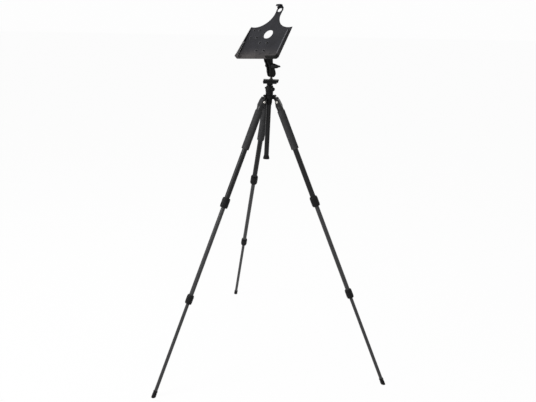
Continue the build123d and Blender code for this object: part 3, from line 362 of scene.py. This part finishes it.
def makeGrip(leg):
    # radius = plain radius, rolled in at both ends by a quarter ellipse, less a few shallow pressed dents
    size = gripSize
    pivot, down, out, side = legFrame(leg)
    angles = np.linspace(0, 2 * np.pi, size["around"], endpoint=False)
    travel = 0.5 - 0.5 * np.cos(np.linspace(0, np.pi, size["along"]))
    station = size["top"] + size["length"] * travel
    fromEnd = np.minimum(station - size["top"], size["top"] + size["length"] - station)
    inward = 1 - np.clip(fromEnd / size["rollLength"], 0, 1)
    rolled = size["roll"] * (1 - np.sqrt(np.clip(1 - inward ** 2, 0, 1)))
    first, second = [np.sin(turns * angles[None, :] + waves * station[:, None])
                     for turns, waves in size["dentWaves"]]
    dent = size["dents"] * (first * second - 1)
    radius = (size["radius"] - rolled)[:, None] + dent * np.clip(fromEnd / size["dentFade"], 0, 1)[:, None]
    bore = np.full((2, len(angles)), size["bore"])
    radius = np.vstack([radius, bore])
    stations = np.concatenate([station, [station[-1], station[0]]])
    stations = np.repeat(stations[:, None], len(angles), axis=1)
    points = carryRound(radius, stations, angles, pivot, down, out, side)
    piece = meshFromGrid(f"{leg}FoamGrip", points)
    finishPiece(piece, foam, f"{leg}_upper", f"{leg}_foam_grip")
    return piece


def makeCollar(leg, which):
    # barrel with bevelled ends and rounded corners; finger flutes, each a bell curve round the barrel, and fine
    # cosine ribs between them are cut into the band between the bevels
    size, shape = collars[which], collars
    pivot, down, out, side = legFrame(leg)
    angles = np.linspace(0, 2 * np.pi, shape["around"], endpoint=False)
    travel = np.linspace(0, 1, shape["along"])
    top = size["station"] - size["length"] / 2
    end = top + size["length"]
    station = top + size["length"] * travel
    fromEnd = np.minimum(station - top, end - station)
    bevel = shape["drop"] * (1 - np.clip(fromEnd / shape["bevel"], 0, 1)) ** shape["bevelPower"]
    inward = 1 - np.clip(fromEnd / shape["cornerLength"], 0, 1)
    corner = shape["corner"] * (1 - np.sqrt(np.clip(1 - inward ** 2, 0, 1)))
    band = np.clip((fromEnd - shape["bevel"] * shape["bandFrom"]) / shape["bandFade"], 0, 1)
    pitch = 2 * np.pi / shape["flutes"]
    fromFlute = ((angles + pitch / 2) % pitch - pitch / 2) * size["radius"]
    flute = shape["fluteDepth"] * np.exp(-(fromFlute / shape["fluteWidth"]) ** 2)
    ribs = shape["ribDepth"] * (0.5 - 0.5 * np.cos(2 * np.pi * (station - top) / shape["ribPitch"]))
    raised = 1 - np.exp(-(fromFlute / (shape["clearOfFlutes"] * shape["fluteWidth"])) ** 4)
    cut = band[:, None] * (flute[None, :] + ribs[:, None] * raised[None, :])
    radius = (size["radius"] - bevel - corner)[:, None] - cut
    inner = [size["neck"], size["neck"], size["bore"], size["bore"]]
    innerStation = [end, end - shape["neckLength"], end - shape["boreFrom"], top]
    radius = np.vstack([radius, np.repeat(np.array(inner)[:, None], len(angles), axis=1)])
    stations = np.concatenate([station, innerStation])
    stations = np.repeat(stations[:, None], len(angles), axis=1)
    points = carryRound(radius, stations, angles, pivot, down, out, side)
    piece = meshFromGrid(f"{leg}{which.capitalize()}Collar", points)
    return finishPiece(piece, nylon, f"{leg}_{which}_twist", f"{leg}_{which}_collar")


for leg in legNames:
    makeGrip(leg)
    makeCollar(leg, "upper")
    makeCollar(leg, "lower")
    yoke = softenedCopy(f"{leg}_leg_yoke", "leg_yoke")
    finishPiece(yoke, satinCoat, f"{leg}_upper", f"{leg}_leg_yoke")
    dress(f"{leg}_upper_tube", tubeMaterials[leg])
    # the middle and lower tubes carry the painted sheen
    for tube in ("middle", "lower"):
        dress(f"{leg}_{tube}_tube", paintedSheenThinMaterials[leg])
    for node in (f"{leg}_upper_ferrule", f"{leg}_middle_fittings", f"{leg}_lower_guide", f"{leg}_angle_tab"):
        dress(node, nylon)
    dress(f"{leg}_foot", rubber)
print("legs dressed")

for node, body in (("spider", "crown"), ("clamp_body", "clamp"), ("camera_plate", "plate"),
                   ("head_housing", "head")):
    finishPiece(softenedCopy(node, node), coat, body, node)
for node in ("column_bushing", "column_cap", "column_collar", "head_lock_knob", "clamp_knob"):
    dress(node, nylon)
for node in ("column_platform", "head_base"):
    dress(node, coat)
for node in ("head_ball", "arm_bolt", "ball_post"):
    dress(node, steel)
dress("pivot_bolts", brightSteel)
dress("centre_column", columnTube)
for node in ("arm_right", "arm_left"):
    dress(node, mattCoat)
dress("tray_ball_plate", charcoalCoat)
for node in ("lower_ball_cover", "upper_ball_cover"):
    dress(node, rubber)

# from is measured from the knob's inner end, tip back from its outer end, and the rest are shares of its size
wingShape = {"from": 0.010, "reach": 0.88, "narrower": 0.72, "thicker": 1.5, "tip": 0.002}


def plumpWing(piece):
    # past the skirt, the paddle's reach along the bolt is shortened, its width shrinks and its thickness grows
    # in a straight line towards the tip; the wide direction is the one in which the tip spreads most
    shape = wingShape
    joint = joints["wing_knob_turn"]
    axis, base = unit(joint["axis"]), np.array(joint["pos_m"])
    mesh = piece.data
    points = np.empty(len(mesh.vertices) * 3)
    mesh.vertices.foreach_get("co", points)
    offsets = points.reshape(-1, 3) - base
    along = offsets @ axis
    start, end = along.min() + shape["from"], along.max()
    tip = offsets[along > end - shape["tip"]]
    wide = np.linalg.svd(tip - tip.mean(axis=0), full_matrices=False)[2][0]
    wide = unit(wide - axis * (wide @ axis))
    thin = np.cross(axis, wide)
    share = np.clip((along - start) / (end - start), 0, 1)
    newAlong = np.where(along > start, start + (along - start) * shape["reach"], along)
    newWide = (offsets @ wide) * (1 + (shape["narrower"] - 1) * share)
    newThin = (offsets @ thin) * (1 + (shape["thicker"] - 1) * share)
    points = base + newAlong[:, None] * axis + newWide[:, None] * wide + newThin[:, None] * thin
    mesh.vertices.foreach_set("co", points.ravel())
    mesh.update()


wing = softenedCopy("wing_knob", "wing_knob", softening["paddleSegments"])
plumpWing(wing)
finishPiece(wing, nylon, "wing", "wing_knob")
print("head dressed")

latchPlace = {"side": 0.0034, "up": 0.2585, "out": 0.0086}     # the latch's hinge in the cradle's own frame
# side walls, 1 the right and -1 the left: how far up each goes, and its depth over the sheet's back there
sideWalls = {"face": 0.105, "bottomDepth": 0.017, "ends": {1: (0.133, 0.015), -1: (0.156, 0.005)}}
# low ribs across the walls' inner faces; waveFrom and waveRise set how wide and how steep each one is
wallRibs = {"sunk": 0.0002, "clear": 0.00002, "height": 0.0018, "pitch": 0.012, "count": {1: 9, -1: 6},
            "start": 0.012, "low": 0.0028, "belowRim": 0.0020, "waveFrom": 0.35, "waveRise": 4, "steps": 24}
sideNames = {1: "Right", -1: "Left"}


def cradleFrame():
    # origin at the middle of the cradle's bottom edge; u to the side, v up its back, n out of its face
    n = unit(joints["cradle_spin"]["axis"])
    u = -unit(joints["latch_lift"]["axis"])
    v = np.cross(n, u)
    hinge = np.array(joints["latch_lift"]["pos_m"])
    origin = hinge - u * latchPlace["side"] - v * latchPlace["up"] - n * latchPlace["out"]
    return origin, u, v, n


def rimHeight(hand, place):
    # the wall's depth over the sheet's back falls in a straight line from the bottom to its top
    top, endDepth = sideWalls["ends"][hand]
    return sideWalls["bottomDepth"] + (endDepth - sideWalls["bottomDepth"]) * place / top


def makeWallRibs(hand):
    # height over the wall follows a rounded square wave along v; the section is a thin rectangle that
    # reaches from the sheet to just below the wall's sloping rim
    size = wallRibs
    origin, u, v, n = cradleFrame()
    count = size["count"][hand]
    along = np.linspace(0, count, count * size["steps"] + 1)
    wave = np.clip(0.5 - 0.5 * np.cos(2 * np.pi * along), 0, 1)
    height = size["height"] * np.clip((wave - size["waveFrom"]) * size["waveRise"], 0, 1)
    place = size["start"] + along * size["pitch"]
    inner = hand * (sideWalls["face"] - height - size["clear"])
    outer = np.full_like(inner, hand * (sideWalls["face"] + size["sunk"]))
    low = np.full_like(inner, size["low"])
    high = rimHeight(hand, place) - size["belowRim"]
    corners = [(outer, low), (inner, low), (inner, high), (outer, high)]
    points = np.stack([origin + sideways[:, None] * u + place[:, None] * v + lift[:, None] * n
                       for sideways, lift in corners], axis=1)
    piece = meshFromGrid(f"wallRibs{sideNames[hand]}", points, closeAlong=False)
    capEnds(piece)
    # the ribs take the pale painted highlight
    return finishPiece(piece, paintedHighlightRibs, "cradle")


# a soft bead over each side wall's edge, pale as a painted highlight: its middle and half width for each wall
edgeHighlightBead = {"middle": {1: 0.1042, -1: 0.1062}, "half": {1: 0.0021, -1: 0.0018}, "height": 0.0012,
            "sunk": 0.0003, "from": 0.014, "short": 0.002, "across": 10, "along": 40}


def makeEdgeHighlightBead(hand, material):
    # section: half an ellipse that stands on the wall's sloping edge, carried up the wall in a straight line
    size = edgeHighlightBead
    origin, u, v, n = cradleFrame()
    travel = np.linspace(0, np.pi, size["across"])
    place = np.linspace(size["from"], sideWalls["ends"][hand][0] - size["short"], size["along"])
    sideways = hand * size["middle"][hand] + size["half"][hand] * np.cos(travel)
    lift = size["height"] * np.sin(travel) - size["sunk"]
    points = (origin + sideways[None, :, None] * u + place[:, None, None] * v
              + (rimHeight(hand, place)[:, None] + lift[None, :])[..., None] * n)
    piece = meshFromGrid(f"edgeHighlightBead{sideNames[hand]}", points, closeAlong=False)
    capEnds(piece)
    return finishPiece(piece, material, "cradle")


# painted shade on the wide cup at the right bottom corner: a thin dark skin over its front and its outer side
cornerPaintedShade = {"start": 0.0525, "half": 0.108, "corner": 0.012, "front": 0.0172, "reach": 0.0050,
                "narrow": 0.0044, "proud": 0.0004, "skin": 0.0008, "bottom": 0.0015, "edgeRadius": 0.0002,
                "sharpFrom": 50, "straight": 6, "around": 16}


def makeCornerPaintedShade():
    # path: along the bottom edge and round the corner's arc; section: an angle whose one leg covers the outer
    # side and whose other leg, which narrows round the arc, covers the front
    size = cornerPaintedShade
    origin, u, v, n = cradleFrame()
    bend = size["half"] - size["corner"]
    turn = np.linspace(-np.pi / 2, 0, size["around"])
    pathU = np.concatenate([np.linspace(size["start"], bend, size["straight"], endpoint=False),
                            bend + size["corner"] * np.cos(turn)])
    pathV = np.concatenate([np.zeros(size["straight"]), size["corner"] * (1 + np.sin(turn))])
    facing = np.concatenate([np.full(size["straight"], -np.pi / 2), turn])
    reach = size["reach"] + (size["narrow"] - size["reach"]) * (facing + np.pi / 2) / (np.pi / 2)
    proud, skin, front = size["proud"], size["skin"], size["front"]
    outside, inside, edge = np.full_like(reach, proud), np.full_like(reach, -skin), np.zeros_like(reach)
    offsets = np.stack([outside, outside, edge, -reach, -reach, inside, inside], axis=1)
    heights = np.array([size["bottom"], front - proud, front + proud / 2, front + proud / 2, front - skin,
                        front - skin, size["bottom"]])
    outwards = np.cos(facing)[:, None] * u + np.sin(facing)[:, None] * v
    onPath = origin + pathU[:, None] * u + pathV[:, None] * v
    points = onPath[:, None, :] + offsets[..., None] * outwards[:, None, :] + heights[None, :, None] * n
    piece = meshFromGrid("cornerPaintedShade", points, closeAlong=False)
    capEnds(piece)
    rolled = piece.modifiers.new("softEdge", "BEVEL")
    rolled.width = size["edgeRadius"]
    rolled.segments = softening["segments"]
    rolled.limit_method = "ANGLE"
    rolled.angle_limit = math.radians(size["sharpFrom"])
    # the dark rubber here is painted shade
    return finishPiece(piece, rubber, "cradle")


# a painted reflection of the bright floor, paler low on the sheet: how far up it reaches, and how much of the
# colour it takes at the bottom, before the tone breaks it up
trayPaintedReflection = {"hex": "#7e7772", "reach": 0.06, "share": 0.34}
cradleOrigin, _, cradleUp, _ = cradleFrame()
trayPaintedReflection.update({"up": cradleUp, "foot": float(cradleOrigin @ cradleUp)})
reflectionPaintedAbs = finishMaterial("grainedAbs", label="grainedAbsWithPaintedReflection", paintedReflection=trayPaintedReflection)
finishPiece(softenedCopy("tray", "tray"), reflectionPaintedAbs, "cradle", "tray")
finishPiece(softenedCopy("latch", "latch"), absPlastic, "hook", "latch")
# the walls' pale ribs and edge beads are painted highlights: the pale ABS on the right, the pale trim on the left
for hand, material in ((1, highlightPaintedAbs), (-1, highlightPaintedTrim)):
    makeWallRibs(hand)
    makeEdgeHighlightBead(hand, material)
makeCornerPaintedShade()

# eight screw holes: the middle of each group of four on the sheet, and the half widths between its holes
screwSeats = {"groups": [((0.0, 0.0585), (0.01905, 0.01905)), ((-0.066, 0.125), (0.0151, 0.01905))],
              "bore": 0.0014, "seat": 0.0050, "narrow": 0.0004, "wide": 0.0021, "height": 0.0008,
              "sheet": 0.0026, "sunk": 0.0004, "around": 40, "across": 12}


def makeScrewSeats():
    # a black countersunk washer in each hole, painted shade for the hole's deep wall: its section falls in a
    # straight line from the rim to the bore; round it a moulded rim with a half ellipse for its section, pale as a
    # painted highlight, widest towards -u, where the light catches it
    size = screwSeats
    origin, u, v, n = cradleFrame()
    angles = np.linspace(0, 2 * np.pi, size["around"], endpoint=False)
    travel = np.linspace(0, np.pi, size["across"])
    low, top = size["sheet"] - size["sunk"], size["sheet"] + 0.5 * size["height"]
    washerRadius = np.array([size["seat"], size["bore"], size["bore"], size["seat"]])
    washerHeight = np.array([top, size["sheet"], low, low])
    width = size["narrow"] + (size["wide"] - size["narrow"]) * (0.5 - 0.5 * np.cos(angles))
    share = np.append(0.5 - 0.5 * np.cos(travel), [1.0, 0.0])
    rimRadius = size["seat"] + share[:, None] * width[None, :]
    rimTop = np.append(size["sheet"] + size["height"] * np.sin(travel), [low, low])
    number = 0
    for (groupU, groupV), (halfU, halfV) in size["groups"]:
        for signU in (-1, 1):
            for signV in (-1, 1):
                number += 1
                centre = origin + u * (groupU + signU * halfU) + v * (groupV + signV * halfV)
                ring = np.cos(angles)[None, :, None] * u + np.sin(angles)[None, :, None] * v
                # the black washers are painted shade and the pale rims a painted highlight
                for label, radius, height, material in (
                    ("screwWasherPaintedShade", washerRadius[:, None], washerHeight, mattCoat),
                    ("screwRimPaintedHighlight", rimRadius, rimTop, highlightPaintedAbs),
                ):
                    points = centre + radius[..., None] * ring + height[:, None, None] * n
                    piece = meshFromGrid(f"{label}{number}", points)
                    finishPiece(piece, material, "cradle")


makeScrewSeats()
print("cradle dressed")

# the floor and the sky look white to the camera and to gloss, and light the object at a plain level
stage = {"floorHalf": 40.0, "floorHex": "#fbfbfb", "whiteShare": 0.965, "skyStrength": 0.2, "seenSky": 0.985}


def seenRays(tree):
    # 1 for rays from the camera, off a gloss or through glass, 0 for the rays that light the object
    path = addNode(tree, "ShaderNodeLightPath")
    both = addNode(tree, "ShaderNodeMath", {"operation": "MAXIMUM"}, None,
                   {0: path.outputs["Is Camera Ray"], 1: path.outputs["Is Glossy Ray"]})
    return addNode(tree, "ShaderNodeMath", {"operation": "MAXIMUM"}, None,
                   {0: both.outputs[0], 1: path.outputs["Is Transmission Ray"]}).outputs[0]


def makeFloor():
    # one flat square at height 0
    half = stage["floorHalf"]
    corners = np.array([[-half, -half, 0], [half, -half, 0], [half, half, 0], [-half, half, 0]], float)
    mesh = bpy.data.meshes.new("paperFloor")
    mesh.from_pydata(corners.tolist(), [], [(0, 1, 2, 3)])
    floor = bpy.data.objects.new("paperFloor", mesh)
    bpy.context.scene.collection.objects.link(floor)
    material = bpy.data.materials.new("whitePaper")
    material.use_nodes = True
    tree = material.node_tree
    tree.nodes.clear()
    paper = addNode(tree, "ShaderNodeBsdfDiffuse", None, {"Color": linearColour(stage["floorHex"])})
    white = addNode(tree, "ShaderNodeEmission", None, {"Strength": 1.0})
    share = addNode(tree, "ShaderNodeMath", {"operation": "MULTIPLY"}, {1: stage["whiteShare"]},
                    {0: seenRays(tree)})
    both = addNode(tree, "ShaderNodeMixShader", None, None,
                   {"Fac": share.outputs[0], 1: paper.outputs[0], 2: white.outputs[0]})
    addNode(tree, "ShaderNodeOutputMaterial", None, None, {"Surface": both.outputs[0]})
    mesh.materials.append(material)


def makeSky():
    world = bpy.data.worlds.new("studioSky")
    world.use_nodes = True
    tree = world.node_tree
    tree.nodes.clear()
    strength = addNode(tree, "ShaderNodeMapRange", None,
                       {"To Min": stage["skyStrength"], "To Max": stage["seenSky"]},
                       {"Value": seenRays(tree)})
    light = addNode(tree, "ShaderNodeBackground", None, {"Color": (1, 1, 1, 1)},
                    {"Strength": strength.outputs["Result"]})
    addNode(tree, "ShaderNodeOutputWorld", None, None, {"Surface": light.outputs["Background"]})
    bpy.context.scene.world = world


def addLamp(name, place, target, size, power):
    lamp = bpy.data.lights.new(name, "AREA")
    lamp.shape = "RECTANGLE"
    lamp.size, lamp.size_y = size
    lamp.energy = power
    holder = bpy.data.objects.new(name, lamp)
    holder.location = place
    holder.rotation_euler = (Vector(target) - Vector(place)).to_track_quat("-Z", "Y").to_euler()
    bpy.context.scene.collection.objects.link(holder)


# places and sizes in metres, powers in watts
lamps = {
    "keyLamp": {"place": (-3.0, -0.9, 2.8), "target": (0, -0.1, 0.9), "size": (1.2, 1.8), "power": 90},
    "fillLamp": {"place": (-1.2, -3.4, 1.6), "target": (0, -0.1, 0.8), "size": (1.6, 2.4), "power": 10},
    "topLamp": {"place": (0.2, 0.2, 3.6), "target": (0, -0.1, 0.8), "size": (1.6, 1.6), "power": 40},
}
# fitted to the photograph: place in metres, heading, angles in degrees, and the focal length and the centre of
# view in pixels of its frame
photoCamera = {"place": (-0.5585, -2.4377, 1.50455), "level": (0.1223, 0.9925), "pitch": 12.79, "roll": 1.31,
               "focalPixels": 571.885, "width": 536, "height": 402, "centre": (202.0, 143.54),
               "sensor": 36.0, "far": 60.0}


def makeCamera():
    # right, up and back directions from a level heading, a downward pitch and a small roll
    info = photoCamera
    ahead = np.array([*info["level"], 0.0])
    ahead /= np.linalg.norm(ahead)
    right = np.array([ahead[1], -ahead[0], 0.0])
    upwards = np.array([0.0, 0.0, 1.0])
    pitch, roll = math.radians(info["pitch"]), math.radians(info["roll"])
    forward = math.cos(pitch) * ahead - math.sin(pitch) * upwards
    tall = math.sin(pitch) * ahead + math.cos(pitch) * upwards
    rightRolled = math.cos(roll) * right + math.sin(roll) * tall
    tallRolled = math.cos(roll) * tall - math.sin(roll) * right
    camera = bpy.data.cameras.new("photoCamera")
    camera.sensor_width = info["sensor"]
    camera.lens = info["focalPixels"] * camera.sensor_width / info["width"]
    camera.shift_x = (info["width"] / 2 - info["centre"][0]) / info["width"]
    camera.shift_y = (info["centre"][1] - info["height"] / 2) / info["width"]
    camera.clip_end = info["far"]
    holder = bpy.data.objects.new("photoCamera", camera)
    turn = Matrix(np.column_stack([rightRolled, tallRolled, -forward]).tolist())
    holder.matrix_world = Matrix.Translation(info["place"]) @ turn.to_4x4()
    bpy.context.scene.collection.objects.link(holder)
    bpy.context.scene.camera = holder


makeFloor()
makeSky()
for name, lamp in lamps.items():
    addLamp(name, lamp["place"], lamp["target"], lamp["size"], lamp["power"])
makeCamera()
bpy.context.scene.view_settings.view_transform = "Standard"
print("stage set")
